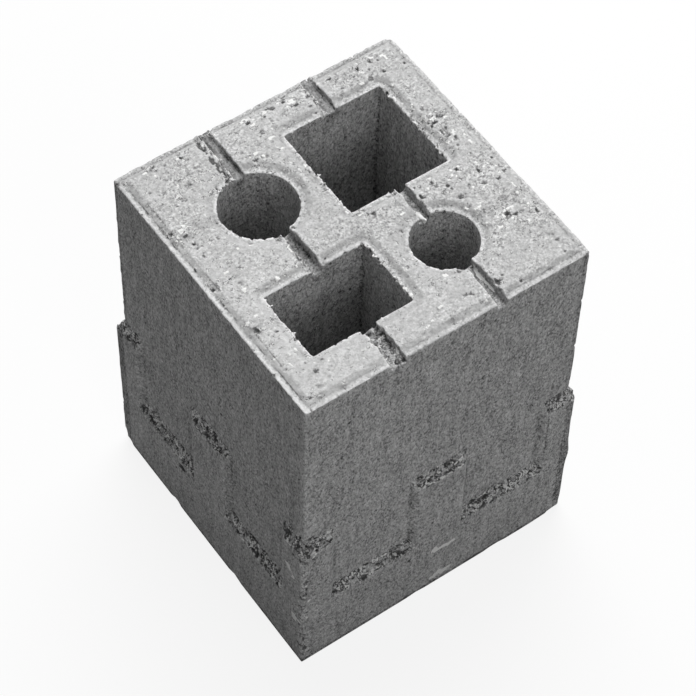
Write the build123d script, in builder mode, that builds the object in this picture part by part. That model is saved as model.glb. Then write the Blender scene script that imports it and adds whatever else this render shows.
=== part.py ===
"""Cast concrete base block for fence posts, in millimetres.

One solid block stands on the floor with its foot at z = 0 and its middle on
the Z axis. Four sockets run right through it from top to bottom: a square one,
an oblong one and two round ones. X runs across the two columns of sockets and
Y runs along the two grooves in the top face, with the front at -Y.
"""
import os
from math import atan2, degrees

from build123d import *

# Sockets for the posts
square_socket = 100.0
oblong_width = 100.0
oblong_depth = 70.0
large_round = 70.0
small_round = 60.0
socket_corner = 2.0

# Concrete left between the sockets and the outer faces of the body
left_wall = 37.0
right_wall = 41.0
column_web = 10.0
front_wall = 44.0
back_wall = 42.0
row_web = 32.0
small_round_wall = 63.0

# Body
block_height = 400.0
outer_corner = 2.0

# Foot: a band right round the body, and lugs that rise above it at the corners
# and in the middle of each side; both slope back to the body at the top
foot_proud = 6.0
band_height = 86.0
lug_height = 182.0
ledge_rise = 13.0
middle_lug_width = 50.0
corner_lug_reach = 26.0
lug_side_run = 6.0

# Top face: pressed flat, falling by a bevel to a narrow level rim at every edge
rim_width = 4.5
bevel_run = 6.0
bevel_drop = 3.0

# Grooves left in the top face by the bars that carried the socket cores; behind the
# sockets they are shallower, and they run out towards the back edge
groove_width = 11.0
groove_depth = 12.0
groove_back_depth = 8.0
groove_end_depth = 5.0
left_groove_inset = 90.5
right_groove_inset = 91.5

# Positions and slopes that follow from the sizes above
body_width = left_wall + oblong_width + column_web + square_socket + right_wall
body_depth = front_wall + oblong_depth + row_web + square_socket + back_wall
half_width = body_width / 2
half_depth = body_depth / 2
left_column = left_wall + oblong_width / 2 - half_width
right_column = half_width - right_wall - square_socket / 2
small_round_column = half_width - small_round_wall - small_round / 2
front_row = front_wall + oblong_depth / 2 - half_depth
back_row = half_depth - back_wall - square_socket / 2
left_groove = left_groove_inset - half_width
right_groove = half_width - right_groove_inset
foot_width = body_width + 2 * foot_proud
foot_depth = body_depth + 2 * foot_proud
band_root = band_height + ledge_rise
lug_root = lug_height + ledge_rise
rim_height = block_height - bevel_drop
bevel_slope = degrees(atan2(bevel_run, bevel_drop))

with BuildPart() as block:
    # Body up to the level of the rim
    with BuildSketch():
        RectangleRounded(body_width, body_depth, outer_corner)
    extrude(amount=rim_height)

    # Pressed face, standing above the rim on its bevel
    with BuildSketch(Plane.XY.offset(rim_height)):
        Rectangle(body_width - 2 * rim_width, body_depth - 2 * rim_width)
    extrude(amount=bevel_drop, taper=bevel_slope)

    # Lugs, first as one course right round the body
    with BuildSketch():
        RectangleRounded(foot_width, foot_depth, outer_corner)
    extrude(amount=lug_height)
    with BuildSketch(Plane.XY.offset(lug_height)):
        RectangleRounded(foot_width, foot_depth, outer_corner)
    with BuildSketch(Plane.XY.offset(lug_root)):
        RectangleRounded(body_width, body_depth, outer_corner)
    loft(ruled=True)

    # Gaps between the lugs, drawn on one quarter of the outline and mirrored round
    with BuildSketch():
        with BuildLine():
            Polyline(
                (middle_lug_width / 2, half_depth + foot_proud),
                (middle_lug_width / 2 + lug_side_run, half_depth),
                (half_width - corner_lug_reach - lug_side_run, half_depth),
                (half_width - corner_lug_reach, half_depth + foot_proud),
                close=True,
            )
        make_face()
        with BuildLine():
            Polyline(
                (half_width + foot_proud, middle_lug_width / 2),
                (half_width, middle_lug_width / 2 + lug_side_run),
                (half_width, half_depth - corner_lug_reach - lug_side_run),
                (half_width + foot_proud, half_depth - corner_lug_reach),
                close=True,
            )
        make_face()
        mirror(about=Plane.XZ)
        mirror(about=Plane.YZ)
    extrude(amount=lug_root, mode=Mode.SUBTRACT)

    # Band below the lugs
    with BuildSketch():
        RectangleRounded(foot_width, foot_depth, outer_corner)
    extrude(amount=band_height)
    with BuildSketch(Plane.XY.offset(band_height)):
        RectangleRounded(foot_width, foot_depth, outer_corner)
    with BuildSketch(Plane.XY.offset(band_root)):
        RectangleRounded(body_width, body_depth, outer_corner)
    loft(ruled=True)

    # Sockets right through the block
    with BuildSketch() as sockets:
        with Locations((right_column, back_row)):
            RectangleRounded(square_socket, square_socket, socket_corner)
        with Locations((left_column, front_row)):
            RectangleRounded(oblong_width, oblong_depth, socket_corner)
        with Locations((left_column, back_row)):
            Circle(large_round / 2)
        with Locations((small_round_column, front_row)):
            Circle(small_round / 2)
    extrude(amount=block_height, mode=Mode.SUBTRACT)

    # Rim and bevel round the mouth of each socket
    for outline in sockets.sketch.faces():
        with BuildSketch(Plane.XY.offset(rim_height)):
            offset(outline, amount=rim_width)
        extrude(amount=bevel_drop, taper=-bevel_slope, mode=Mode.SUBTRACT)

    # Grooves from front to back along both columns, drawn by the line of their floor
    for column in (left_groove, right_groove):
        with BuildSketch(Plane.YZ.offset(column)):
            with BuildLine():
                Polyline(
                    (-half_depth, block_height),
                    (-half_depth, block_height - groove_depth),
                    (back_row, block_height - groove_depth),
                    (back_row, block_height - groove_back_depth),
                    (half_depth, block_height - groove_end_depth),
                    (half_depth, block_height),
                    close=True,
                )
            make_face()
        extrude(amount=groove_width / 2, both=True, mode=Mode.SUBTRACT)

block.part.label = "fence_base_block"
os.makedirs("parts", exist_ok=True)
export_step(block.part, "parts/fence_base_block.step")
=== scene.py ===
"""Concrete fence post base block: the worn surface of the casting, its finish and a plain stage.

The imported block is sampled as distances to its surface, worked over as the real casting was
(pressed, dragged out of its mould, crumbled and chipped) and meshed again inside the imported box.
The relief is worked in millimetres and the finished mesh is in metres, as the frame is.
"""
import math

import bmesh
import bpy
import numpy as np
import openvdb
from bpy.props import FloatProperty, FloatVectorProperty, IntProperty, PointerProperty
from mathutils import Matrix, Vector


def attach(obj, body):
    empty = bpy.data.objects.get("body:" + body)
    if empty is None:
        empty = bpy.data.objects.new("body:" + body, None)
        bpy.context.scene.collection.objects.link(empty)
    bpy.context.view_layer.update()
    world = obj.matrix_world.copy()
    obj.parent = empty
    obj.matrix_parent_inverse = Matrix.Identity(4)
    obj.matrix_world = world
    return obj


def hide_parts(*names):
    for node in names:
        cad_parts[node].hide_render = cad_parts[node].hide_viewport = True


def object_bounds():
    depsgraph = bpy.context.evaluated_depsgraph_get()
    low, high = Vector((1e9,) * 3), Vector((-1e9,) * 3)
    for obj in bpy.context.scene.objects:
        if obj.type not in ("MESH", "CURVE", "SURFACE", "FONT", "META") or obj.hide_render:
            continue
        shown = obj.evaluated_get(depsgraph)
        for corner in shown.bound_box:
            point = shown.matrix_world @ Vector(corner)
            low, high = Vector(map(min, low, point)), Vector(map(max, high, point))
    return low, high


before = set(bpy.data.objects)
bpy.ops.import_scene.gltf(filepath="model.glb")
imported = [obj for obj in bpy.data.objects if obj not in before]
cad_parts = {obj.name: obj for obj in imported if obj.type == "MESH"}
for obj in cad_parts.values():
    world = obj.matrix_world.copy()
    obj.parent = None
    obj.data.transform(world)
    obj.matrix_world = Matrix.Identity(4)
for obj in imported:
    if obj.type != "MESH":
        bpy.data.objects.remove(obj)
cad_low, cad_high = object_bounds()

bl_info = {
    "name": "Fence Post Base Block",
    "version": (1, 0, 0),
    "blender": (4, 5, 0),
    "location": "3D View > Sidebar > Block",
    "description": "Builds the worn concrete block and the stage that it is shown on",
    "category": "Object",
}

NODE = "fence_base_block"
PIECE = "worn_block"
MM = 0.001
TOP = cad_high.z / MM

# Grid steps of distance that are sampled on each side of the surface
BAND = 4

# Height of a plain section, clear of the foot and of the grooves
PLAIN_SECTION = 300.0

# Depth at which a noise is cut to give a plan
PLAN_DEPTH = 14.0

# Depth of the pressed face, and of all that counts as part of the top
FACE_ZONE = 6.0
TOP_ZONE = 8.0

# Grooves in the top: x of their middles
GROOVES = (-53.5, 52.5)
GROOVE_HALF_WIDTH = 5.5
GROOVE_FLOOR = 388.0

# Painted shade fills the grooves fully behind the sockets: from y, to y
GROOVE_SHADE_BEHIND = (60.0, 90.0)

# The front margin of the top is pressed best: it ends from y, to y
FRONT_MARGIN = (-112.0, -90.0)

# Torn burrs beside the grooves: x, from y, to y, number of crumbs
BURRS = ((-63, 86, 142, 34), (-62, -30, 17, 14), (45, 104, 142, 10))

# Half width of the body above the foot
HALF_BODY = 144.0

# The two sockets with corners: x and y of the middle, half lengths along x and y
CORNERED_SOCKETS = ((53, 52, 50, 50), (-57, -65, 50, 35))

# Top edge: the level rim, then the bevel up to the pressed face
RIM_WIDTH = 4.5
PRESS_LINE = 10.5
FACE_EDGE = HALF_BODY - PRESS_LINE

# Heights between which the sloping ledges of the foot lie
LEDGE_FROM = 62.0
LEDGE_TO = 215.0

# Pits in the top face: x, y, half length along x, half length along y
TOP_PITS = (
    (-112, 134, 6.0, 1.8), (-84, 130, 2.5, 1.8), (-47, 139, 2.5, 2.0), (-16, 129, 2.5, 2.0),
    (22, 132, 2.5, 2.0), (30, 123, 3.0, 2.0), (70, 131, 2.2, 1.6), (97, 127, 2.4, 1.8),
    (-135, 66, 2.6, 2.0), (-125, 47, 2.4, 1.8), (-33, 92, 2.4, 1.8), (-137, 0, 2.0, 4.5),
    (-121, 0, 1.8, 1.8), (10, -2, 3.0, 2.2), (16, -10, 3.2, 2.0), (76, -12, 2.2, 1.8),
    (85, -22, 2.2, 1.8), (102, -12, 2.0, 1.6), (135, -35, 2.2, 2.6), (109, -74, 3.0, 1.8),
    (115, -78, 2.4, 1.6), (132, -85, 2.0, 4.0), (117, 40, 2.8, 1.8), (123, 45, 2.0, 1.6),
    (140, 35, 1.8, 2.4), (-110, -96, 1.8, 1.8), (-132, -134, 2.4, 2.0), (-131, -55, 2.0, 4.0),
    (58, -126, 4.0, 4.6), (-126, 58, 3.5, 1.8), (60, -18, 1.5, 4.0), (61, -8, 1.4, 3.0),
    (108, 62, 1.0, 2.2), (111, 50, 1.0, 2.6), (113, 38, 1.1, 2.4), (116, 28, 1.0, 3.0),
    (110, 20, 1.0, 2.2), (113, 10, 1.0, 2.0),
)

# Crumbs round each of these pits: number, spread
PIT_CRUMBS = 4
PIT_SPREAD = 4.5

# Pale pebbles pressed into the top face: x, y, radius
TOP_PEBBLES = (
    (-13, 126, 3.0), (-20, 132, 2.2), (25, 128, 2.4), (29, 129, 2.0), (23, 124, 1.8),
    (125, 124, 2.6), (-126, 64, 2.6), (-122, 67, 2.0), (-29, 97, 2.4), (-26, 93, 2.0),
    (119, 44, 2.2), (29, -96, 2.4), (112, -70, 2.0), (-47, 134, 2.0), (99, 132, 1.8),
    (-98, 22, 1.8), (-88, -22, 2.0), (8, 20, 1.8), (130, -60, 2.0), (-8, -128, 1.8),
)

# Shallow marks across the top face: from x, to x, y, half width
PRESS_MARKS = (
    (-140, -92, 57, 6), (-140, -107, -56, 7), (103, 140, 45, 5), (81, 140, -61, 5),
)

# Lips broken where the grooves leave the sockets: x, y
BROKEN_LIPS = (
    (-61, 88), (-61, 16), (-61, -29), (-61, -101), (45, 103), (45, 1), (45, -34), (45, -97),
)

# Broken front end of the first groove, and the loose concrete left under it: corners of a box
OPEN_STUB = ((-60.0, -147.0, 390.5), (-45.0, -99.0, 402.0))
STUB_FILL = ((-60.0, -143.0, 384.0), (-45.5, -101.0, 390.5))
STUB_CRUMBS = 70
STUB_PITS = 55

# Pale paste left in the second groove: middle, radii
GROOVE_PASTE = (
    ((51.5, -31, 389), (2.6, 6.5, 4.0)), ((56.2, -112, 389.8), (1.2, 12.0, 1.6)),
)

# Chips and pale crumbs along the socket mouths
MOUTH_CHIPS = 90
MOUTH_CRUMBS = 40

# Edges of socket mouths that are torn: x, from y, to y, number of chips
TORN_EDGES = ((-7, -98, -32, 36), (103, 6, 100, 38), (3, 6, 98, 26), (-107, -98, -34, 10))

# Deep pits in the foot and the sides: x, y, z, radius
SIDE_PITS = (
    (-150, 46, 77, 4.2), (-149, 111, 93, 3.0), (-65, -149, 98, 3.2), (-55, -149, 92, 3.0),
    (-81, -149, 86, 3.4), (-31, -150, 68, 2.4), (14, -150, 150, 1.8), (14, -150, 131, 2.0),
    (75, -148, 128, 2.0), (132, -150, 191, 4.0), (40, -144, 297, 1.8), (-56, -144, 372, 1.8),
    (47, -144, 375, 1.8), (-149, -76, 88, 3.2), (-149, -92, 90, 2.6), (-148, 20, 186, 2.6),
    (-150, -149, 100, 2.0), (-150, -149, 72, 2.2), (-147, -150, 50, 2.0), (-150, -112, 85, 2.4),
)

# Pale flecks of paste on the foot: middle, radii
PALE_FLECKS = (
    ((8.5, -150, 59), (9.5, 2.4, 2.1)), ((-150, -140, 68), (2.6, 6.0, 5.5)),
    ((-3, -150, 11), (3.0, 2.0, 2.4)), ((4, -150, 14), (2.6, 2.0, 2.0)),
    ((9, -150, 12), (3.0, 2.0, 2.6)), ((15, -150, 14), (2.4, 2.0, 2.0)),
    ((-150, -127, 146), (1.3, 2.4, 2.6)), ((-150, -131, 142), (1.3, 2.6, 2.8)),
    ((-150, -136, 137), (1.3, 2.4, 2.6)),
)

# Places where the concrete crumbled most: middle, half sides of a box, number of pits
CRUMBLED = (
    ((-147, -147, 186), (12, 12, 13), 60), ((-150, -150, 95), (4, 4, 80), 60),
    ((-150, -150, 30), (6, 6, 18), 24),
)

# Knocked corners and edges: x, y, z, radius, depth
KNOCKS = (
    (150, -150, 150, 60, 3.5), (150, -150, 40, 60, 3.0), (150, -150, 2, 16, 5.0),
    (-150, 150, 2, 16, 5.0), (-150, -150, 182, 22, 2.5), (-150, 60, 0, 10, 1.5),
    (-150, -40, 0, 12, 1.2), (70, -150, 0, 14, 1.2), (-20, -150, 0, 12, 1.0),
    (144, 144, 397, 8, 1.2), (150, 150, 2, 14, 4.0),
)

# Places of the lamps, in metres
KEY_PLACE = (0.95, 1.2, 2.9)
FILL_PLACE = (-0.3, -2.3, 1.8)


class Casting:
    """Distances to the block's surface, positive outside it, on an even grid, in millimetres."""

    def __init__(self, mesh, step, seed):
        self.step = step
        self.random = np.random.default_rng(seed)
        self.draw = self.random.uniform
        mesh.calc_loop_triangles()
        corners = np.empty((len(mesh.loop_triangles), 3), np.int32)
        mesh.loop_triangles.foreach_get("vertices", corners.ravel())
        grid = openvdb.FloatGrid.createLevelSetFromPolygons(
            mesh_points(mesh) / MM, triangles=corners.astype(np.uint32),
            transform=openvdb.createLinearTransform(voxelSize=step), halfWidth=BAND)
        self.low, high = grid.evalActiveVoxelBoundingBox()
        self.shape = tuple(b - a + 1 for a, b in zip(self.low, high))
        self.distance = np.empty(self.shape, np.float32)
        grid.copyToArray(self.distance, ijk=self.low)
        self.clean = self.distance.copy()
        # Painted shade in the hollows, and how pale the stones are
        self.hollow = np.zeros(self.shape, np.float32)
        self.stone = np.zeros(self.shape, np.float32)
        axes = [((np.arange(count) + start) * step).astype(np.float32)
                for start, count in zip(self.low, self.shape)]
        self.x, self.y, self.z = np.meshgrid(*axes, indexing="ij", sparse=True)
        self.plan = self.x[:, :, 0], self.y[:, :, 0]
        self.ragged = 1 + 0.4 * self.noise(2.8)

    def noise(self, *cell):
        """Smooth random values, mostly from -1 to 1, in swells of about that length or lengths."""
        cell = cell if len(cell) == 3 else 3 * cell
        size = [max(2, math.ceil(2 * n * self.step / c) + 2) for n, c in zip(self.shape, cell)]
        values = self.random.standard_normal(size, dtype=np.float32)
        values = soften(values, 2)
        values /= 2 * values.std()
        for axis, (count, length) in enumerate(zip(self.shape, cell)):
            place = np.arange(count) * (2 * self.step / length)
            base = place.astype(int)
            share = (place - base).astype(np.float32)
            share = share.reshape([-1 if a == axis else 1 for a in range(3)])
            low = values.take(base, axis)
            values = low + (values.take(base + 1, axis) - low) * share
        return values

    def plan_noise(self, size):
        """Smooth random values over the plan of the block, in swells of about that size."""
        return self.noise(size)[:, :, self.layer(TOP - PLAN_DEPTH)]

    def layer(self, height):
        """Index of the grid layer at that height."""
        return int(round(height / self.step)) - self.low[2]

    def window(self, centre, reach):
        """Slices of the grid around a point, out to that reach on every side."""
        box = []
        for middle, half, start in zip(centre, reach, self.low):
            first = math.floor((middle - half) / self.step) - start
            last = math.ceil((middle + half) / self.step) - start
            box.append(slice(max(0, first), max(0, last + 1)))
        return tuple(box)

    def span(self, centre, radii, ragged=True):
        """A window on an ellipsoid, and the distance from its middle there, 1 at its surface."""
        box = self.window(centre, [1.2 * r + 1.5 for r in radii])
        x, y, z = self.x[box[0]], self.y[:, box[1]], self.z[:, :, box[2]]
        parts = [((a - c) / r) ** 2 for a, c, r in zip((x, y, z), centre, radii)]
        reach = np.sqrt(sum(parts))
        return box, reach * self.ragged[box] if ragged else reach

    def carve(self, centre, radii, dark=1.0):
        """Cuts an ellipsoid out of the concrete and notes how much painted shade its hollow gets.
        """
        box, reach = self.span(centre, radii)
        away = (reach - 1) * min(radii)
        self.distance[box] = np.maximum(self.distance[box], -away)
        self.hollow[box] = np.maximum(self.hollow[box], dark * (1 - ramp(away, 0.2, 1.1)))
        self.stone[box] *= ramp(away, 0.2, 1.1)

    def bury(self, centre, radii, pale=0.0):
        """Sets an ellipsoid of stone into the surface and notes how pale it is."""
        box, reach = self.span(centre, radii)
        away = (reach - 1) * min(radii)
        self.distance[box] = np.minimum(self.distance[box], away)
        self.stone[box] = np.maximum(self.stone[box], pale * (1 - ramp(away, 0.2, 0.9)))
        self.hollow[box] *= ramp(away, 0.2, 0.9)

    def scatter(self, work, points, count, sizes, tones):
        """Carves or buries at some of the points, with random radii and tones from those spans."""
        for place in self.pick(points, count):
            work(place, self.draw(*sizes, size=3), self.draw(*tones))

    def skin(self, keep):
        """Points of the grid next to the clean surface where keep is true, in millimetres."""
        near = np.argwhere((np.abs(self.clean) < self.step) & keep)
        return (near + np.array(self.low)) * self.step

    def pick(self, points, count):
        """Some of the points, at random."""
        return points[self.random.integers(len(points), size=count)]

    def wall_distance(self):
        """Distance in plan from every point of the concrete to the nearest upright wall."""
        air = self.clean[:, :, self.layer(PLAIN_SECTION)] > 0
        count = np.arange(max(air.shape))
        squares = ((count[:, None] - count) * self.step) ** 2
        across = squares[:air.shape[0], :air.shape[0]]
        along = squares[:air.shape[1], :air.shape[1]]
        reach = np.where(air, 0, squares.max())
        reach = (across[:, :, None] + reach).min(axis=1)
        reach = (along + reach[:, None, :]).min(axis=2)
        return np.sqrt(reach).astype(np.float32)

    def sample(self, values, points):
        """Values of the grid at the points nearest to those given, in millimetres."""
        place = np.rint(points / self.step).astype(int) - np.array(self.low)
        place = np.clip(place, 0, np.array(self.shape) - 1)
        return values[tuple(place[:, axis] for axis in range(values.ndim))]

    def surface(self):
        """Points in millimetres and quads of the worked surface, without loose crumbs."""
        grid = openvdb.FloatGrid(BAND * self.step)
        grid.copyFromArray(self.distance, ijk=self.low)
        grid.transform = openvdb.createLinearTransform(voxelSize=self.step)
        points, quads = grid.convertToQuads(0.0)
        return largest_shell(points, quads)


def soften(values, passes):
    """Blurs an array of values over its neighbours."""
    for axis in list(range(3)) * passes:
        values = (np.roll(values, 1, axis) + 2 * values + np.roll(values, -1, axis)) / 4
    return values


def ramp(values, low, high):
    """0 below low, 1 above high and a smooth rise between them."""
    share = np.clip((values - low) / (high - low), 0, 1)
    return share * share * (3 - 2 * share)


def between(values, low, high, fade):
    """1 from low to high and 0 outside, with a smooth step that far round each end."""
    return ramp(values, low - fade, low + fade) * (1 - ramp(values, high - fade, high + fade))


def bell(values, middle, width):
    """1 at the middle, falling away smoothly to both sides over about that width."""
    return np.exp(-((values - middle) / width) ** 2)


def largest_shell(points, quads):
    """Keeps the points and quads that hang together with most of the others."""
    label = np.arange(len(points))
    ends = np.concatenate([quads[:, [0, 1]], quads[:, [1, 2]], quads[:, [2, 3]]]).astype(np.int64)
    while True:
        before = label.copy()
        lowest = np.minimum(label[ends[:, 0]], label[ends[:, 1]])
        np.minimum.at(label, ends[:, 0], lowest)
        np.minimum.at(label, ends[:, 1], lowest)
        label = label[label]
        if np.array_equal(before, label):
            break
    keep = label == np.bincount(label).argmax()
    order = np.cumsum(keep) - 1
    return points[keep], order[quads[keep[quads[:, 0]]]]


def work_faces(cast, finish):
    """Slight swells everywhere, and the marks of the mould drawn up the upright faces."""
    rise = ramp(cast.z, 0, 4) * (1 - ramp(cast.z, TOP - TOP_ZONE, TOP - 3))
    swell = 0.15 * cast.noise(70, 70, 90)
    drag = finish.drag_depth / MM * cast.noise(5, 5, 22)
    grain = finish.drag_depth / MM * cast.noise(4, 4, 6)
    cast.distance += rise * np.maximum(0.2 + swell + drag + grain, 0)


def work_top(cast, finish, inset):
    """Grain of the pressed face and the broken lines along its edges and beside the grooves; gives
    back the plan of the painted shade in these lines and in the marks across the face.
    """
    depth = finish.grain_depth / MM
    x, y = cast.plan
    broken = ramp(cast.plan_noise(13), -0.3, 0.4)
    dashes = ramp(cast.plan_noise(9), -0.2, 0.3)
    outer = ramp(np.maximum(np.abs(x), np.abs(y)), FACE_EDGE - 4, FACE_EDGE - 2)
    faint = ramp(np.maximum(np.maximum(x, y), -y), HALF_BODY - 19, HALF_BODY - 9)
    lines = 0.6 * (0.4 + 0.6 * broken) * bell(inset - PRESS_LINE, 0.6, 0.8)
    lines += 0.5 * (0.4 + 0.6 * dashes) * bell(inset - RIM_WIDTH, 1.6, 0.7)
    lines *= (0.15 + 0.85 * outer) * (1 - 0.6 * faint)
    for burr, from_y, to_y, _ in BURRS:
        lines += 0.35 * dashes * between(y, from_y, to_y, 3) * bell(x, burr, 1.2)
    dip = np.zeros_like(lines)
    shaded = np.zeros_like(lines)
    # Marks across the face: their dips, and the painted shade in them
    for from_x, to_x, at_y, width in PRESS_MARKS:
        mark = bell(y, at_y, width) * between(x, from_x, to_x, 4)
        dip += 0.6 * mark
        shaded = np.maximum(shaded, 0.35 * mark)
    grain = depth * (1.2 + cast.noise(3.2) + 0.7 * cast.noise(8))
    grain += 0.25 * cast.noise(40)
    pressed = 0.25 + 0.75 * ramp(inset, RIM_WIDTH, PRESS_LINE)
    patches = ramp(cast.noise(30), -0.6, 0.7) * pressed[:, :, None]
    upper = ramp(cast.z, TOP - 10, TOP - 4)
    holes = ramp(cast.noise(3.4), 0.8, 1.1) * patches * upper
    stones = ramp(cast.noise(3.0), 0.75, 1.0) * patches * upper
    face = np.maximum(grain, 0) * pressed[:, :, None] + (1.2 * lines + dip)[:, :, None]
    cast.distance += upper * face + 1.3 * holes - 0.4 * stones
    # Painted shade in the holes
    cast.hollow = np.maximum(cast.hollow, 0.7 * holes)
    cast.stone = np.maximum(cast.stone, 0.8 * stones)
    return np.maximum(lines, shaded)


def rim_and_edge_highlight(cast, inset):
    """Plan of the pale rim, which is partly painted highlight: broad along the front and left
    edges, none along the far edges, narrow round the sockets.
    """
    x, y = cast.plan
    inset = inset + 0.8 * cast.plan_noise(5)
    broken = ramp(cast.plan_noise(16), -0.9, 0.2)
    outer = np.maximum(np.abs(x), np.abs(y)) > FACE_EDGE
    behind = np.maximum(x, y) > FACE_EDGE
    front = y < np.minimum(x, -FACE_EDGE)
    broad = 0.8 * (1 - ramp(inset, RIM_WIDTH - 0.5, RIM_WIDTH + 1.2))
    broad = np.where(front, 0.8 * (1 - ramp(inset, 1.0, 2.8)), broad)
    narrow = (1 - ramp(inset, 0.4 * RIM_WIDTH, 0.8 * RIM_WIDTH)) * (0.3 + 0.7 * broken)
    return np.where(outer, broad * ~behind, narrow)


def work_grooves(cast):
    """Crumbled sides of the grooves, lips broken at the sockets and the open end of the first."""
    upper = ramp(cast.z, GROOVE_FLOOR - 8, GROOVE_FLOOR - 3)
    crumble = 0.6 * cast.noise(4, 6, 4) + 0.5 * cast.noise(10, 14, 10) - 0.8
    for middle in GROOVES:
        beside = 1 - ramp(np.abs(cast.x - middle), GROOVE_HALF_WIDTH, GROOVE_HALF_WIDTH + 3)
        cast.distance += upper * beside * np.clip(crumble, -1.5, 0.8)
    for burr, from_y, to_y, count in BURRS:
        along = (cast.y > from_y) & (cast.y < to_y)
        torn = cast.skin((np.abs(cast.x - burr) < 2.5) & along & (cast.z > TOP - 2))
        for x, y, _ in cast.pick(torn, count):
            size = cast.draw((0.7, 0.8, 0.8), (1.1, 1.5, 1.2))
            cast.bury((x + 1.5, y, TOP - 0.7 * size[2]), size, 0.8)
        for place in cast.pick(torn, count):
            cast.carve(place, cast.draw((0.6, 0.8, 1.6), (1.0, 2.2, 2.6)))
        for _, y, _ in cast.pick(torn, count // 2):
            cast.carve((burr + 3, y, TOP), cast.draw((1.0, 0.8, 1.6), (2.0, 1.6, 2.6)))
    for x, y in BROKEN_LIPS:
        cast.carve((x, y, TOP - 1.5), (4.5, 4.0, 3.5), 0.3)
    cast.distance = np.maximum(cast.distance, -box_distance(cast, OPEN_STUB))
    cast.distance = np.minimum(cast.distance, box_distance(cast, STUB_FILL))
    low, high = STUB_FILL
    for x, y, _ in cast.draw(low, high, size=(STUB_CRUMBS, 3)):
        size = cast.draw((0.9, 1.2, 1.0), (1.8, 3.4, 2.2))
        cast.bury((x, y, high[2] - 0.5), size, cast.draw(0, 0.8))
    for x, y, _ in cast.draw(low, high, size=(STUB_PITS, 3)):
        size = cast.draw((0.9, 1.2, 1.6), (1.8, 3.4, 3.0))
        cast.carve((x, y, high[2]), size, cast.draw(0.6, 1.0))
    for centre, radii in GROOVE_PASTE:
        cast.bury(centre, radii, 0.9)


def box_distance(cast, corners):
    """Distance to the ragged surface of a box, positive outside it."""
    low, high = corners
    sides = [np.maximum(a - values, values - b)
             for a, b, values in zip(low, high, (cast.x, cast.y, cast.z))]
    away = np.maximum(np.maximum(sides[0], sides[1]), sides[2]) + 2 * (cast.ragged - 1)
    return np.clip(away, -BAND * cast.step, BAND * cast.step)


def ledge_zone(cast):
    """1 on the sloping ledges of the foot and close round them, 0 elsewhere."""
    rows = slice(cast.layer(LEDGE_FROM), cast.layer(LEDGE_TO))
    rising = np.gradient(cast.clean[:, :, rows], cast.step, axis=2)
    zone = np.zeros(cast.shape, np.float32)
    zone[:, :, rows] = ramp(soften(ramp(rising, 0.15, 0.38), 4), 0.05, 0.45)
    return zone


def work_ledges(cast, finish, zone):
    """Open, honeycombed concrete on the ledges, where the mix did not fill the mould."""
    depth = finish.ledge_depth / MM
    place = zone * (0.65 + 0.35 * ramp(cast.noise(30, 30, 20), -0.5, 0.3))
    lumps = 0.25 + 0.5 * cast.noise(8, 8, 6) + 0.8 * cast.noise(3.4)
    cracks = ramp(cast.noise(6, 6, 3), 0.45, 0.8)
    crumbs = ramp(cast.noise(3.6), 0.35, 0.8) * (1 - cracks)
    cast.distance += place * depth * (np.clip(lumps, -0.8, 2.0) + 1.2 * cracks - 0.6 * crumbs)
    # Painted shade in the cracks
    cast.hollow = np.maximum(cast.hollow, 0.55 * place * cracks)
    cast.stone = np.maximum(cast.stone, 0.6 * place * crumbs)
    near = cast.skin(place > 0.5)
    count = int(len(near) * finish.ledge_pores)
    cast.scatter(cast.bury, near, count, (1.0, 2.2), (0, 0.8))
    for centre in cast.pick(near, count):
        along = 0 if abs(centre[1]) > abs(centre[0]) else 1
        radii = cast.draw(1.0, 2.0, size=3)
        radii[along] *= cast.draw(1.0, 2.2)
        radii[1 - along] *= 1.7
        cast.carve(centre, radii)


def loose_plan(cast, inset, lines):
    """Plan of how loose the concrete of the top is: 0 where well pressed, 1 where it crumbles."""
    x, y = cast.plan
    plan = 0.35 + 0.25 * cast.plan_noise(26) + 0.15 * cast.plan_noise(9)
    plan *= ramp(inset, RIM_WIDTH - 0.5, RIM_WIDTH + 1.5) * (0.4 + 0.6 * ramp(y, *FRONT_MARGIN))
    mouth = np.maximum(np.abs(x), np.abs(y)) < FACE_EDGE
    torn = ramp(cast.plan_noise(14), -0.2, 0.5) * (1 - ramp(inset, 2.0, 4.5)) * mouth
    plan = np.maximum(plan, np.maximum(0.8 * torn, 0.6 * lines))
    spots = [bell(x, at_x, half_x + 6) * bell(y, at_y, half_y + 6)
             for at_x, at_y, half_x, half_y in TOP_PITS]
    spots += [bell(x, at_x, 6) * bell(y, at_y, 6) for at_x, at_y in BROKEN_LIPS]
    spots += [between(y, from_y, to_y, 3) * bell(x, edge, 5)
              for edge, from_y, to_y, _ in TORN_EDGES]
    spots += [between(y, from_y, to_y, 3) * bell(x, burr + 1, 3) for burr, from_y, to_y, _ in BURRS]
    spots += [0.75 * bell(y, at_y, width) * between(x, from_x + 3, to_x - 3, 3)
              for from_x, to_x, at_y, width in PRESS_MARKS]
    for spot in spots:
        plan = np.maximum(plan, spot)
    return np.clip(plan, 0, 1)


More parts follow.
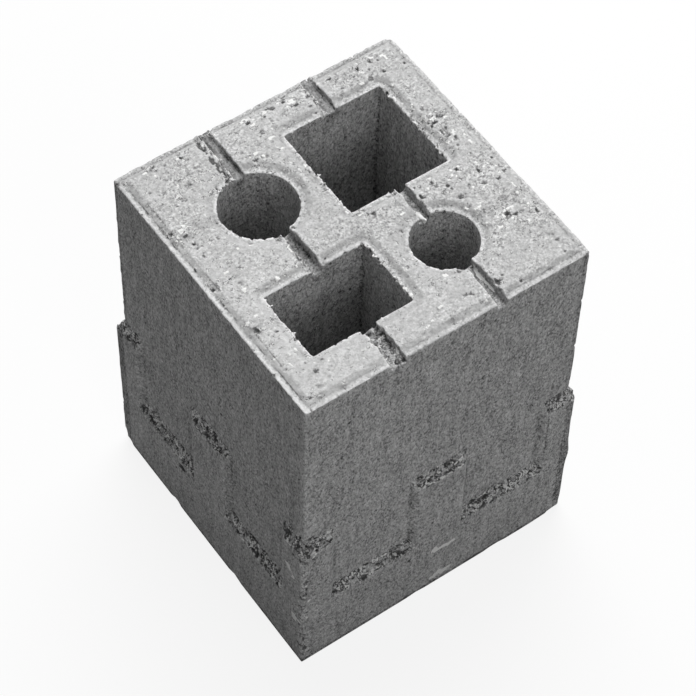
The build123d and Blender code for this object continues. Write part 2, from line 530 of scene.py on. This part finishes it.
def work_mouths(cast, inset):
    """Sharp upright corners of the sockets, and chips out of the edges of their mouths."""
    for at_x, at_y, half_x, half_y in CORNERED_SOCKETS:
        inside = np.minimum(half_x - np.abs(cast.x - at_x), half_y - np.abs(cast.y - at_y))
        cast.distance = np.maximum(cast.distance, np.minimum(inside, cast.step * BAND))
    mouth = np.maximum(np.abs(cast.x), np.abs(cast.y)) < FACE_EDGE
    edges = cast.skin(mouth & (inset < 2)[:, :, None] & (cast.z > TOP - 5))
    cast.scatter(cast.carve, edges, MOUTH_CHIPS, (0.6, 1.4), (0.2, 0.8))
    for at_x, from_y, to_y, count in TORN_EDGES:
        for at_y in cast.draw(from_y, to_y, size=count):
            place = (at_x, at_y, TOP - 3.5) + cast.random.normal(0, 0.8, size=3)
            cast.carve(place, cast.draw(0.8, 1.9, size=3), cast.draw(0.5, 1.0))
        for at_y in cast.draw(from_y, to_y, size=count // 2):
            place = (at_x, at_y, TOP - 3.2) + cast.random.normal(0, 1.0, size=3)
            cast.bury(place, cast.draw(0.7, 1.1, size=3), 0.9)
    cast.scatter(cast.bury, edges - (0, 0, 0.8), MOUTH_CRUMBS, (0.6, 1.0), (0.3, 0.8))


def work_edges(cast, finish):
    """Edges rubbed round, and here and there chipped."""
    sharp = np.maximum(soften(cast.clean, 3) - cast.clean, 0)
    chips = 0.5 + 0.5 * cast.noise(6) + 0.8 * cast.noise(22)
    cast.distance += ramp(cast.z, -1, 4) * finish.edge_wear * sharp * np.clip(chips, 0, 3)
    for x, y, z, radius, depth in KNOCKS:
        box, reach = cast.span((x, y, z), (radius,) * 3, ragged=False)
        broken = depth * (1 - ramp(reach, 0.3, 1.0)) * np.minimum(sharp[box] * 2, 1)
        cast.distance[box] += broken * ramp(cast.z[:, :, box[2]], -1, 1)
    edges = cast.skin((sharp > 0.35) & (cast.z > 2))
    for centre in cast.pick(edges, finish.edge_chips):
        cast.carve(centre, cast.draw(0.7, 1.8, size=3), 0.2)


def work_pits(cast, finish):
    """Pits and pebbles seen one by one, crumbs round them, then a scatter over every face."""
    for x, y, half_x, half_y in TOP_PITS:
        for away in cast.random.normal(0, PIT_SPREAD, size=(PIT_CRUMBS, 2)):
            size = cast.draw(0.6, 1.2, size=3)
            if away[0] > away[1]:
                cast.carve((x + away[0], y + away[1], TOP - 0.6), size, 0.7)
            else:
                cast.bury((x + away[0], y + away[1], TOP - 0.7 * size[2]), size, 1.0)
        cast.carve((x, y, TOP - 0.4), (0.7 * half_x, 0.7 * half_y, 2.4))
    for x, y, radius in TOP_PEBBLES:
        size = 0.6 * radius * cast.draw(0.7, 1.3, size=3)
        cast.bury((x, y, TOP - size[2]), size, 1.0)
    for x, y, z, radius in SIDE_PITS:
        cast.carve((x, y, z), (radius, radius, radius))
    for centre, radii in PALE_FLECKS:
        cast.bury(centre, radii, 1.0)
    for centre, spread, count in CRUMBLED:
        inside = np.zeros(cast.shape, bool)
        inside[cast.window(centre, spread)] = True
        places = cast.skin(inside)
        for place in cast.pick(places, count):
            size = cast.draw(1.2, 2.6, size=3)
            inward = -np.sign(place) * (np.abs(place) > HALF_BODY - 4) * size * (1, 1, 0)
            cast.bury(place + inward, size, cast.draw(0, 0.8))
        cast.scatter(cast.carve, places, count, (1.0, 2.6), (0.3, 1.0))
    faces = cast.skin(cast.z > 3)
    cast.scatter(cast.carve, faces, finish.small_pits, (0.7, 1.7), (0.2, 0.8))
    top = cast.skin(cast.z > TOP - 4)
    for x, y, _ in cast.pick(top, finish.top_stones):
        size = cast.draw(0.6, 1.2, size=3)
        cast.bury((x, y, TOP - 0.7 * size[2]), size, cast.draw(0.4, 1.0))
    cast.scatter(cast.carve, top, finish.top_stones, (0.7, 1.3), (0.2, 0.7))


def keep_in_box(cast):
    """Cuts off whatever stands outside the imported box."""
    low, high = np.array(cad_low) / MM, np.array(cad_high) / MM
    for axis, values in enumerate((cast.x, cast.y, cast.z)):
        outside = np.maximum(low[axis] - values, values - high[axis])
        np.maximum(cast.distance, outside, out=cast.distance)


def thin_mesh(piece, cast, zone, finish):
    """Thins the plain faces to their number of triangles, then the rough ones to the limit."""
    for rough in (False, True):
        mesh = piece.data
        points = mesh_points(mesh) / MM
        fine = (points[:, 2] > TOP - FACE_ZONE) | (cast.sample(zone, points) > 0.3)
        fine |= cast.sample(cast.stone, points) > 0.3
        group = piece.vertex_groups.new(name="thin")
        group.add(np.flatnonzero(fine == rough).tolist(), 1.0, "REPLACE")
        plain = 2 * np.count_nonzero(fine) + finish.plain_triangles
        wanted = finish.triangle_limit if rough else plain
        thinner = piece.modifiers.new("thin", "DECIMATE")
        thinner.vertex_group = group.name
        thinner.use_collapse_triangulate = True
        thinner.ratio = min(1, wanted / (len(mesh.loops) - 2 * len(mesh.polygons)))
        evaluated = piece.evaluated_get(bpy.context.evaluated_depsgraph_get())
        piece.data = bpy.data.meshes.new_from_object(evaluated)
        piece.modifiers.clear()
        piece.vertex_groups.clear()
        bpy.data.meshes.remove(mesh)


def join_points(mesh):
    """Joins points that fell together when the lowest row was set down on the floor."""
    shell = bmesh.new()
    shell.from_mesh(mesh)
    bmesh.ops.remove_doubles(shell, verts=shell.verts, dist=0.001 * MM)
    shell.to_mesh(mesh)
    shell.free()


def mesh_points(mesh):
    """Places of a mesh's points, as rows of x, y and z."""
    points = np.empty((len(mesh.vertices), 3), np.float32)
    mesh.vertices.foreach_get("co", points.ravel())
    return points


def mesh_block(cast, zone, finish):
    """Turns the worked surface into a thinned mesh object that stands flat on the floor."""
    points, quads = cast.surface()
    points[points[:, 2] < 1.1 * cast.step, 2] = 0
    mesh = bpy.data.meshes.new(PIECE)
    mesh.from_pydata(points * MM, [], quads)
    piece = bpy.data.objects.new(PIECE, mesh)
    bpy.context.scene.collection.objects.link(piece)
    thin_mesh(piece, cast, zone, finish)
    mesh = piece.data
    mesh.name = PIECE
    points = np.clip(mesh_points(mesh), np.array(cad_low), np.array(cad_high))
    mesh.vertices.foreach_set("co", points.ravel())
    join_points(mesh)
    return piece


def keep_marks(mesh, cast, inset, zone, lines):
    """Keeps on the points of the mesh what the finish has to know of the worked surface."""
    points = mesh_points(mesh) / MM
    x, y, z = points.T
    on_top = z > TOP - TOP_ZONE
    # Concavity of each point: above zero in hollows, below on bumps and edges, for the painted
    # shade and highlight there
    cavity = cast.sample(cast.distance - soften(cast.distance, 3), points)
    rim = cast.sample(rim_and_edge_highlight(cast, inset), points) * on_top
    stub_low, stub_high = np.array(OPEN_STUB)
    stub = np.all((points > stub_low - 2) & (points < stub_high), axis=1)
    ledge = np.maximum(cast.sample(zone, points), 0.45 * stub)
    loose = cast.sample(loose_plan(cast, inset, lines), points) * on_top
    for centre, spread, _ in CRUMBLED:
        loose = np.maximum(loose, 0.9 * np.all(np.abs(points - centre) < spread, axis=1))
    walls = np.maximum(np.abs(x), np.abs(y)) < FACE_EDGE
    loose = np.maximum(loose, np.where(walls, 0.38, 0.32) * ~on_top)
    # Share of painted shade in the grooves: full behind the sockets, less further forward, and less
    # again on their right walls and in the open stub
    across = x - np.where(x < 0, *GROOVES)
    trench = 1 - ramp(np.abs(across), GROOVE_HALF_WIDTH - 0.5, GROOVE_HALF_WIDTH + 1.5)
    shadowed = ramp(y, *GROOVE_SHADE_BEHIND)
    trench *= (shadowed + (1 - shadowed) * (0.6 - 0.35 * ramp(across, 2.5, 4.0))) * (1 - 0.3 * stub)
    trench *= ramp(z, GROOVE_FLOOR - 8, GROOVE_FLOOR - 2) * (1 - ramp(z, TOP - 5, TOP - 2))
    deep = ramp(-cast.sample(cast.clean, points), 0.5, 1.3)
    marks = {
        "cavity": np.where(cavity > 0, cavity, 0.4 * cavity),
        "inset": cast.sample(inset, points),
        "rim": rim,
        "ledge": ledge,
        "loose": np.maximum(loose, ledge),
        "groove": trench,
        "line": cast.sample(lines, points) * (z > TOP - FACE_ZONE),
        "hollow": cast.sample(cast.hollow, points) * deep,
        "stone": cast.sample(cast.stone, points),
    }
    for name, values in marks.items():
        layer = mesh.attributes.new(name, "FLOAT", "POINT")
        layer.data.foreach_set("value", np.ascontiguousarray(values, np.float32))


def build_block(finish):
    """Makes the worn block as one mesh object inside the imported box."""
    cast = Casting(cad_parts[NODE].data, finish.grid_step / MM, finish.seed)
    inset = cast.wall_distance()
    zone = ledge_zone(cast)
    work_faces(cast, finish)
    lines = work_top(cast, finish, inset)
    work_grooves(cast)
    work_ledges(cast, finish, zone)
    work_edges(cast, finish)
    work_mouths(cast, inset)
    work_pits(cast, finish)
    keep_in_box(cast)
    piece = mesh_block(cast, zone, finish)
    keep_marks(piece.data, cast, inset, zone, lines)
    piece.data.shade_smooth()
    piece.data.update()
    return piece


class Shade:
    """One output of a node in a material; arithmetic on it adds Math nodes beside it."""

    def __init__(self, tree, socket=None):
        self.tree = tree
        self.socket = socket

    def node(self, kind, settings=None, sockets=None, output=0):
        """Adds a shader node with its settings and the values or links of its sockets."""
        made = self.tree.nodes.new("ShaderNode" + kind)
        for name, value in (settings or {}).items():
            setattr(made, name, value)
        for name, value in (sockets or {}).items():
            if isinstance(value, Shade):
                self.tree.links.new(value.socket, made.inputs[name])
            else:
                made.inputs[name].default_value = value
        return Shade(self.tree, made.outputs[output] if made.outputs else None)

    def math(self, operation, first, second):
        """A Math node on two values."""
        return self.node("Math", {"operation": operation}, {0: first, 1: second})

    def __add__(self, other):
        return self.math("ADD", self, other)

    def __sub__(self, other):
        return self.math("SUBTRACT", self, other)

    def __rsub__(self, other):
        return self.math("SUBTRACT", other, self)

    def __mul__(self, other):
        return self.math("MULTIPLY", self, other)

    def __abs__(self):
        return self.math("ABSOLUTE", self, 0.0)

    __radd__ = __add__
    __rmul__ = __mul__

    def step(self, low, high):
        """0 below low, 1 above high and a smooth rise between them."""
        return self.node("MapRange", {"interpolation_type": "SMOOTHSTEP"}, {
            "Value": self, "From Min": low, "From Max": high})

    def mix(self, low, high):
        """The colour low where this is 0 and the colour high where it is 1."""
        return self.node("Mix", {"data_type": "RGBA"}, {0: self, 6: low, 7: high}, 2)

    def shift(self, other):
        """This vector moved by another."""
        return self.node("VectorMath", {"operation": "ADD"}, {0: self, 1: other})

    def stretch(self, x, y, z):
        """This vector with each part multiplied by its own number."""
        return self.node("VectorMath", {"operation": "MULTIPLY"}, {0: self, 1: (x, y, z)})

    def brighten(self, amount):
        """This colour or vector times an amount, which may vary over the surface."""
        return self.node("VectorMath", {"operation": "SCALE"}, {0: self, "Scale": amount})

    def part(self, name):
        """The x, y or z of this vector."""
        return self.node("SeparateXYZ", None, {0: self}, name)

    def noise(self, scale, detail, roughness):
        """Noise over this vector, from about 0.2 to 0.8."""
        return self.node("TexNoise", None, {
            "Vector": self, "Scale": scale, "Detail": detail, "Roughness": roughness})

    def cells(self, scale, output):
        """Distance to the middle of the nearest of many cells, or that cell's own colour."""
        return self.node("TexVoronoi", None, {"Vector": self, "Scale": scale}, output)

    def stored(self, name):
        """A number kept for each point of the mesh."""
        return self.node("Attribute", {"attribute_name": name}, None, "Fac")


def empty_tree(owner):
    """Clears the nodes of a new material or world and starts on its tree."""
    owner.use_nodes = True
    owner.node_tree.nodes.clear()
    return Shade(owner.node_tree)


def concrete_finish(finish):
    """Grey cast concrete: pale pressed top, dragged sides, open ledges, pores and pale grit."""
    material = bpy.data.materials.new("cast_concrete")
    shade = empty_tree(material)
    place = shade.node("TexCoord", output="Object")
    normal = shade.node("NewGeometry", output="Normal")
    height = place.part("Z")
    cavity, inset = shade.stored("cavity"), shade.stored("inset")
    groove, loose = shade.stored("groove"), shade.stored("loose")
    dark, pale = (*finish.pore_shade_colour, 1), (*finish.grit_and_highlight_colour, 1)

    # Where the top, the upright faces, the ledges and the rims lie
    top = normal.part("Z").step(0.25, 0.75) * height.step((TOP - 9.5) * MM, (TOP - 5.5) * MM)
    upright = 1 - top
    ledge = shade.stored("ledge") * upright
    rim = top * shade.stored("rim")
    strip = top * inset.step(RIM_WIDTH + 0.6, RIM_WIDTH + 1.8)
    strip = strip * (1 - inset.step(PRESS_LINE - 0.5, PRESS_LINE + 0.8))
    ahead = (0 - normal.part("X") - normal.part("Y")).step(0.02, 0.40)
    near = (0 - place.part("X") - place.part("Y")).step(-0.05, 0.26)
    far = (HALF_BODY - 7.5) * MM, (HALF_BODY - 5.5) * MM
    back = place.part("Y").step(*far)
    behind = shade.math("MAXIMUM", place.part("X").step(*far), back)

    # Grain, drawn out upwards on the sides and lengthwise in the grooves
    jitter = shade.node("TexNoise", None, {"Vector": place, "Scale": 300.0}, "Color")
    warped = place.shift(jitter.brighten(0.0016))
    sand = place.noise(620, 1.0, 0.6) - 0.5
    middling = place.noise(340, 1.0, 0.5) - 0.5
    cloud = place.noise(26, 4.0, 0.55) - 0.5
    grains = warped.cells(560, "Color").part("X") - 0.5
    drag = warped.stretch(1.0, 1.0, 0.5).cells(720, "Color").part("X") - 0.5
    fibre = place.stretch(1.0, 1.0, 0.5).noise(700, 2.0, 0.7) - 0.5
    veil = place.stretch(1.0, 1.0, 0.15).noise(140, 2.0, 0.6) - 0.5
    streak = place.stretch(1.0, 0.12, 0.3).noise(500, 2.0, 0.6) - 0.5
    rough = place.noise(38, 2.0, 0.5).step(0.38, 0.62)
    # Patches where the painted shade along the foot is deeper
    shadowed = place.noise(34, 2.0, 0.5).step(0.42, 0.56)

    # Plain colours with painted shade in the grooves, then the tone of the grain, with painted
    # shade in the hollows, creases, far edges, front bevels and along the foot, and painted light
    # on the ledges
    colour = top.mix((*finish.side_colour, 1), (*finish.top_colour, 1))
    # The rim's own paler colour, with painted highlight along the front and left edges and round
    # the sockets
    colour = rim.mix(colour, (*finish.rim_colour, 1))
    # Painted shade inside the grooves
    colour = groove.mix(colour, (*finish.groove_shade_colour, 1))
    speckle = sand * 1.3 + grains * 0.6 + middling * 0.9
    speckle = speckle * (0.5 + rough * 0.5) * (1 - near * 0.45)
    # The bevel strips that face the front get painted shade
    tone = 1 + cloud * 0.35 + top * speckle * (1 - rim * 0.5 - strip * 0.5) - strip * ahead * 0.2
    tone = tone + upright * (drag * 0.8 + fibre * 1.7 + sand * 1.0 + veil * 0.8)
    tone = tone + ledge * grains * 0.8 + groove * streak * 1.4
    # Painted shade in hollows and creases, painted highlight on bumps and edges, painted shade
    # along the notched lines of the top, and painted light on the ledges
    tone = tone - cavity * (0.9 + ledge * 0.3) - shade.stored("line") * 0.45 + ledge * 0.1
    # Painted shade on the back and right: along the far edges of the top, darkest at their outer
    # line, and over the upright faces there
    tone = tone - behind * (0.05 + back * 0.12 + 0.35 * (1 - inset.step(0.4, 2.2)))
    # Painted shade along the bottom of the foot
    foot_shade = (1 - height.step(4.0 * MM, 6.2 * MM)) * (0.36 + 0.38 * shadowed)
    tone = tone + top * near * 0.13 - foot_shade
    colour = colour.brighten(shade.math("MAXIMUM", tone, 0.08))

    # Painted shade in the pores, and pale grit
    speck = warped.cells(240, "Distance")
    chosen = warped.cells(240, "Color").part("X")
    pores = (1 - speck.step(0.08, 0.30)) * chosen.step(0.80, 0.90)
    grit = (1 - speck.step(0.12, 0.34)) * (1 - chosen.step(0.08, 0.16))
    colour = (pores * 0.5).mix(colour, dark)
    colour = (grit * (0.3 + top * 0.2)).mix(colour, pale)

    # Painted shade in fine crevices and painted highlight on their lips where it is torn, then
    # painted shade in the pits, and the pale grains
    bend = (place.noise(200, 2.0, 0.6) - 0.5) * (1 - ledge * 0.4)
    torn = (place.noise(160, 3.0, 0.6) + loose * 0.20).step(0.62, 0.68)
    crevice = torn * (1 - abs(bend).step(0.012, 0.034))
    lip = torn * bend.step(0.030, 0.045) * (1 - bend.step(0.075, 0.10))
    ragged = place.noise(430, 2.0, 0.7) - 0.5
    # Painted shade in the pits, holes and cracks
    hollow = shade.stored("hollow")
    hollow = hollow * 0.4 + (hollow + ragged * 1.2).step(0.55, 0.80) * 0.45
    stone = (shade.stored("stone") + ragged * 1.2).step(0.50, 0.72)
    colour = (crevice * (0.72 + ledge * 0.25)).mix(colour, dark)
    colour = (lip * (0.5 + ledge * 0.4)).mix(colour, pale)
    colour = hollow.mix(colour, dark)
    colour = (stone * 0.92).mix(colour, pale)

    # Finest relief, too small for the mesh
    relief = (sand * 0.6 + grains * 0.5) * (1 - upright * 0.6)
    relief = relief + upright * fibre * 0.35 - pores * 0.5
    bump = shade.node("Bump", None, {
        "Strength": 0.8, "Distance": finish.bump_depth, "Height": relief})
    surface = shade.node("BsdfPrincipled", None, {
        "Base Color": colour, "Roughness": 0.96 - rim * 0.1, "Specular IOR Level": 0.25,
        "Normal": bump})
    shade.node("OutputMaterial", None, {"Surface": surface})
    return material


def floor_finish(stage):
    """Pale floor: white to the eye, with a soft shadow, and a duller bounce on the block."""
    material = bpy.data.materials.new("pale_floor")
    shade = empty_tree(material)
    bounce = shade.node("BsdfDiffuse", None, {"Color": (*stage.floor_bounce, 1)})
    paint = shade.node("BsdfDiffuse", None, {"Color": (*stage.floor_colour, 1)})
    glow = shade.node("Emission", None, {"Color": (1, 1, 1, 1), "Strength": 1.0})
    seen = shade.node("MixShader", None, {0: stage.floor_glow, 1: paint, 2: glow})
    both = shade.node("MixShader", None, {0: seen_rays(shade), 1: bounce, 2: seen})
    shade.node("OutputMaterial", None, {"Surface": both})
    return material


def seen_rays(shade):
    """1 for rays that come straight from the eye or by way of a gloss or a glass, else 0."""
    rays = [shade.node("LightPath", output=name)
            for name in ("Is Camera Ray", "Is Glossy Ray", "Is Transmission Ray")]
    return shade.math("MINIMUM", rays[0] + rays[1] + rays[2], 1.0)


def set_world(stage):
    """White surroundings to the eye, and a low even light on the block."""
    world = bpy.data.worlds.new("studio")
    shade = empty_tree(world)
    low, white = [
        shade.node("Background", None, {"Color": (1, 1, 1, 1), "Strength": strength})
        for strength in (stage.world_light, 1.0)]
    both = shade.node("MixShader", None, {0: seen_rays(shade), 1: low, 2: white})
    shade.node("OutputWorld", None, {"Surface": both})
    bpy.context.scene.world = world


def add_lamp(name, place, target, size, power):
    """A round soft lamp that shines from a place at a target."""
    lamp = bpy.data.lights.new(name, "AREA")
    lamp.shape = "DISK"
    lamp.size = size
    lamp.energy = power
    holder = bpy.data.objects.new(name, lamp)
    holder.location = place
    holder.rotation_euler = (target - Vector(place)).to_track_quat("-Z", "Y").to_euler()
    bpy.context.scene.collection.objects.link(holder)


def add_camera(stage):
    """Camera that looks at its aim from the stage's direction and distance, rolled a little."""
    lens = bpy.data.cameras.new("camera")
    lens.lens = stage.camera_lens
    holder = bpy.data.objects.new("camera", lens)
    turn, lift = stage.camera_azimuth, stage.camera_elevation
    level = math.cos(lift)
    back = Vector((math.sin(turn) * level, -math.cos(turn) * level, math.sin(lift)))
    spot = Matrix.Translation(Vector(stage.camera_aim) + back * stage.camera_distance)
    aim = (-back).to_track_quat("-Z", "Y").to_matrix().to_4x4()
    holder.matrix_world = spot @ aim @ Matrix.Rotation(stage.camera_roll, 4, "Z")
    bpy.context.scene.collection.objects.link(holder)
    bpy.context.scene.camera = holder


class BlockFinish(bpy.types.PropertyGroup):
    """Sizes and colours of the worn concrete."""

    grid_step: FloatProperty(
        name="Grid step", description="Spacing of the grid that is worked on",
        default=0.00125, min=0.0008, max=0.005, precision=4, unit="LENGTH")
    triangle_limit: IntProperty(
        name="Triangles", description="Triangles that the finished block is thinned to",
        default=195000, min=20000, max=199000)
    plain_triangles: IntProperty(
        name="Plain triangles", description="Triangles that the plainer faces are thinned to",
        default=80000, min=5000, max=150000)
    seed: IntProperty(
        name="Seed", description="Picks one random pattern of wear", default=11, min=0)
    drag_depth: FloatProperty(
        name="Drag marks", description="Depth of the mould's marks up the sides",
        default=0.00018, min=0, max=0.002, precision=5, unit="LENGTH")
    grain_depth: FloatProperty(
        name="Top grain", description="Depth of the grain in the pressed top face",
        default=0.00042, min=0, max=0.002, precision=5, unit="LENGTH")
    ledge_depth: FloatProperty(
        name="Ledge roughness", description="Depth of the crumbled concrete on the ledges",
        default=0.0018, min=0, max=0.004, precision=4, unit="LENGTH")
    ledge_pores: FloatProperty(
        name="Ledge pores", description="Share of the ledge points hollowed out",
        default=0.006, min=0, max=0.05, precision=4, subtype="FACTOR")
    edge_wear: FloatProperty(
        name="Edge wear", description="How far the edges are rubbed round and chipped",
        default=0.3, min=0, max=4)
    small_pits: IntProperty(
        name="Small pits", description="Number of small pits over all faces",
        default=1000, min=0, max=10000)
    edge_chips: IntProperty(
        name="Edge chips", description="Number of small chips out of the edges",
        default=200, min=0, max=10000)
    top_stones: IntProperty(
        name="Top stones", description="Number of pale grains, and of pits, all over the top",
        default=110, min=0, max=5000)
    bump_depth: FloatProperty(
        name="Bump", description="Height of the grain too fine for the mesh",
        default=0.0008, min=0, max=0.005, precision=5, unit="LENGTH")
    top_colour: FloatVectorProperty(
        name="Top", description="Colour of the pressed top face", default=(0.50, 0.50, 0.50),
        min=0, max=1, subtype="COLOR")
    side_colour: FloatVectorProperty(
        name="Sides", description="Colour of the upright faces and ledges",
        default=(0.40, 0.40, 0.40), min=0, max=1, subtype="COLOR")
    # The rim's own paler colour, which is also painted highlight along the front and left edges and
    # round the sockets
    rim_colour: FloatVectorProperty(
        name="Rim", description="Colour of the smooth rim round the top edges",
        default=(0.60, 0.60, 0.60), min=0, max=1, subtype="COLOR")
    # Painted shade inside the grooves
    groove_shade_colour: FloatVectorProperty(
        name="Grooves", description="Colour of the damp concrete inside the grooves",
        default=(0.27, 0.27, 0.27), min=0, max=1, subtype="COLOR")
    # The pale grit and pebbles, and the painted highlight on torn lips
    grit_and_highlight_colour: FloatVectorProperty(
        name="Grit", description="Colour of the palest grains and pebbles",
        default=(0.86, 0.86, 0.85), min=0, max=1, subtype="COLOR")
    # Painted shade inside the pores, cracks and pits
    pore_shade_colour: FloatVectorProperty(
        name="Pores", description="Colour inside the pores and pits", default=(0.06, 0.06, 0.06),
        min=0, max=1, subtype="COLOR")


class StageSettings(bpy.types.PropertyGroup):
    """Floor, light and camera."""

    floor_size: FloatProperty(
        name="Floor", description="Side of the square floor", default=12.0, min=1, unit="LENGTH")
    floor_colour: FloatVectorProperty(
        name="Floor colour", description="Colour of the floor as it is seen",
        default=(0.9, 0.9, 0.9), min=0, max=1, subtype="COLOR")
    floor_bounce: FloatVectorProperty(
        name="Floor bounce", description="Colour of the floor as it lights the block",
        default=(0.35, 0.35, 0.35), min=0, max=1, subtype="COLOR")
    floor_glow: FloatProperty(
        name="Floor glow", description="Share of plain white in the floor as it is seen",
        default=0.86, min=0, max=1, subtype="FACTOR")
    world_light: FloatProperty(
        name="Surroundings", description="Strength of the even light from all round",
        default=0.17, min=0)
    key_power: FloatProperty(
        name="Key lamp", description="Power of the lamp above and behind",
        default=100.0, min=0, unit="POWER")
    key_size: FloatProperty(
        name="Key size", description="Width of the lamp above and behind",
        default=2.4, min=0.1, unit="LENGTH")
    fill_power: FloatProperty(
        name="Fill lamp", description="Power of the lamp in front",
        default=16.0, min=0, unit="POWER")
    fill_size: FloatProperty(
        name="Fill size", description="Width of the lamp in front",
        default=1.6, min=0.1, unit="LENGTH")
    camera_lens: FloatProperty(
        name="Lens", description="Focal length in millimetres",
        default=139.4, min=10, unit="CAMERA")
    camera_distance: FloatProperty(
        name="Distance", description="From the aim to the camera", default=2.417, min=0.5,
        unit="LENGTH")
    camera_azimuth: FloatProperty(
        name="Azimuth", description="Direction of the camera round the block, 0 in front",
        default=math.radians(-36.61), subtype="ANGLE")
    camera_elevation: FloatProperty(
        name="Elevation", description="Angle of the camera above the floor",
        default=math.radians(55.06), subtype="ANGLE")
    camera_roll: FloatProperty(
        name="Roll", description="Turn of the camera about its own line of sight",
        default=math.radians(1.896), subtype="ANGLE")
    camera_aim: FloatVectorProperty(
        name="Aim", description="Point that the camera looks at", default=(0.0032, 0.0007, 0.2),
        subtype="TRANSLATION", unit="LENGTH", precision=4)


class OBJECT_OT_worn_block(bpy.types.Operator):
    """Builds the worn concrete block in place of the clean one"""

    bl_idname = "object.fence_base_worn_block"
    bl_label = "Worn Block"

    def execute(self, context):
        finish = context.scene.block_finish
        piece = build_block(finish)
        piece.data.materials.append(concrete_finish(finish))
        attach(piece, "root")
        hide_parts(NODE)
        return {"FINISHED"}


class OBJECT_OT_stage(bpy.types.Operator):
    """Adds the floor, the lamps, the surroundings and the camera"""

    bl_idname = "object.fence_base_stage"
    bl_label = "Stage"

    def execute(self, context):
        stage = context.scene.block_stage
        half = stage.floor_size / 2
        corners = [(-half, -half, 0), (half, -half, 0), (half, half, 0), (-half, half, 0)]
        mesh = bpy.data.meshes.new("floor")
        mesh.from_pydata(corners, [], [(0, 1, 2, 3)])
        mesh.materials.append(floor_finish(stage))
        floor = bpy.data.objects.new("floor", mesh)
        context.scene.collection.objects.link(floor)
        set_world(stage)
        middle = (cad_low + cad_high) / 2
        add_lamp("key_lamp", KEY_PLACE, middle, stage.key_size, stage.key_power)
        add_lamp("fill_lamp", FILL_PLACE, middle, stage.fill_size, stage.fill_power)
        add_camera(stage)
        context.scene.view_settings.view_transform = "Standard"
        return {"FINISHED"}


class VIEW3D_PT_block(bpy.types.Panel):
    """Builds the block and its stage, and shows what can be changed"""

    bl_idname = "VIEW3D_PT_fence_base_block"
    bl_label = "Fence Post Base Block"
    bl_space_type = "VIEW_3D"
    bl_region_type = "UI"
    bl_category = "Block"

    def draw(self, context):
        for settings, operator in (
            (context.scene.block_finish, OBJECT_OT_worn_block),
            (context.scene.block_stage, OBJECT_OT_stage),
        ):
            column = self.layout.column()
            column.operator(operator.bl_idname)
            for name in type(settings).__annotations__:
                column.prop(settings, name)


CLASSES = (BlockFinish, StageSettings, OBJECT_OT_worn_block, OBJECT_OT_stage, VIEW3D_PT_block)


def register():
    """Makes the settings, the operators and the panel known to Blender."""
    for kind in CLASSES:
        bpy.utils.register_class(kind)
    bpy.types.Scene.block_finish = PointerProperty(type=BlockFinish)
    bpy.types.Scene.block_stage = PointerProperty(type=StageSettings)


def unregister():
    """Takes away what register added."""
    del bpy.types.Scene.block_stage
    del bpy.types.Scene.block_finish
    for kind in reversed(CLASSES):
        bpy.utils.unregister_class(kind)


def main():
    """Builds the block and its stage."""
    register()
    bpy.ops.object.fence_base_worn_block()
    bpy.ops.object.fence_base_stage()


if __name__ == "__main__":
    main()
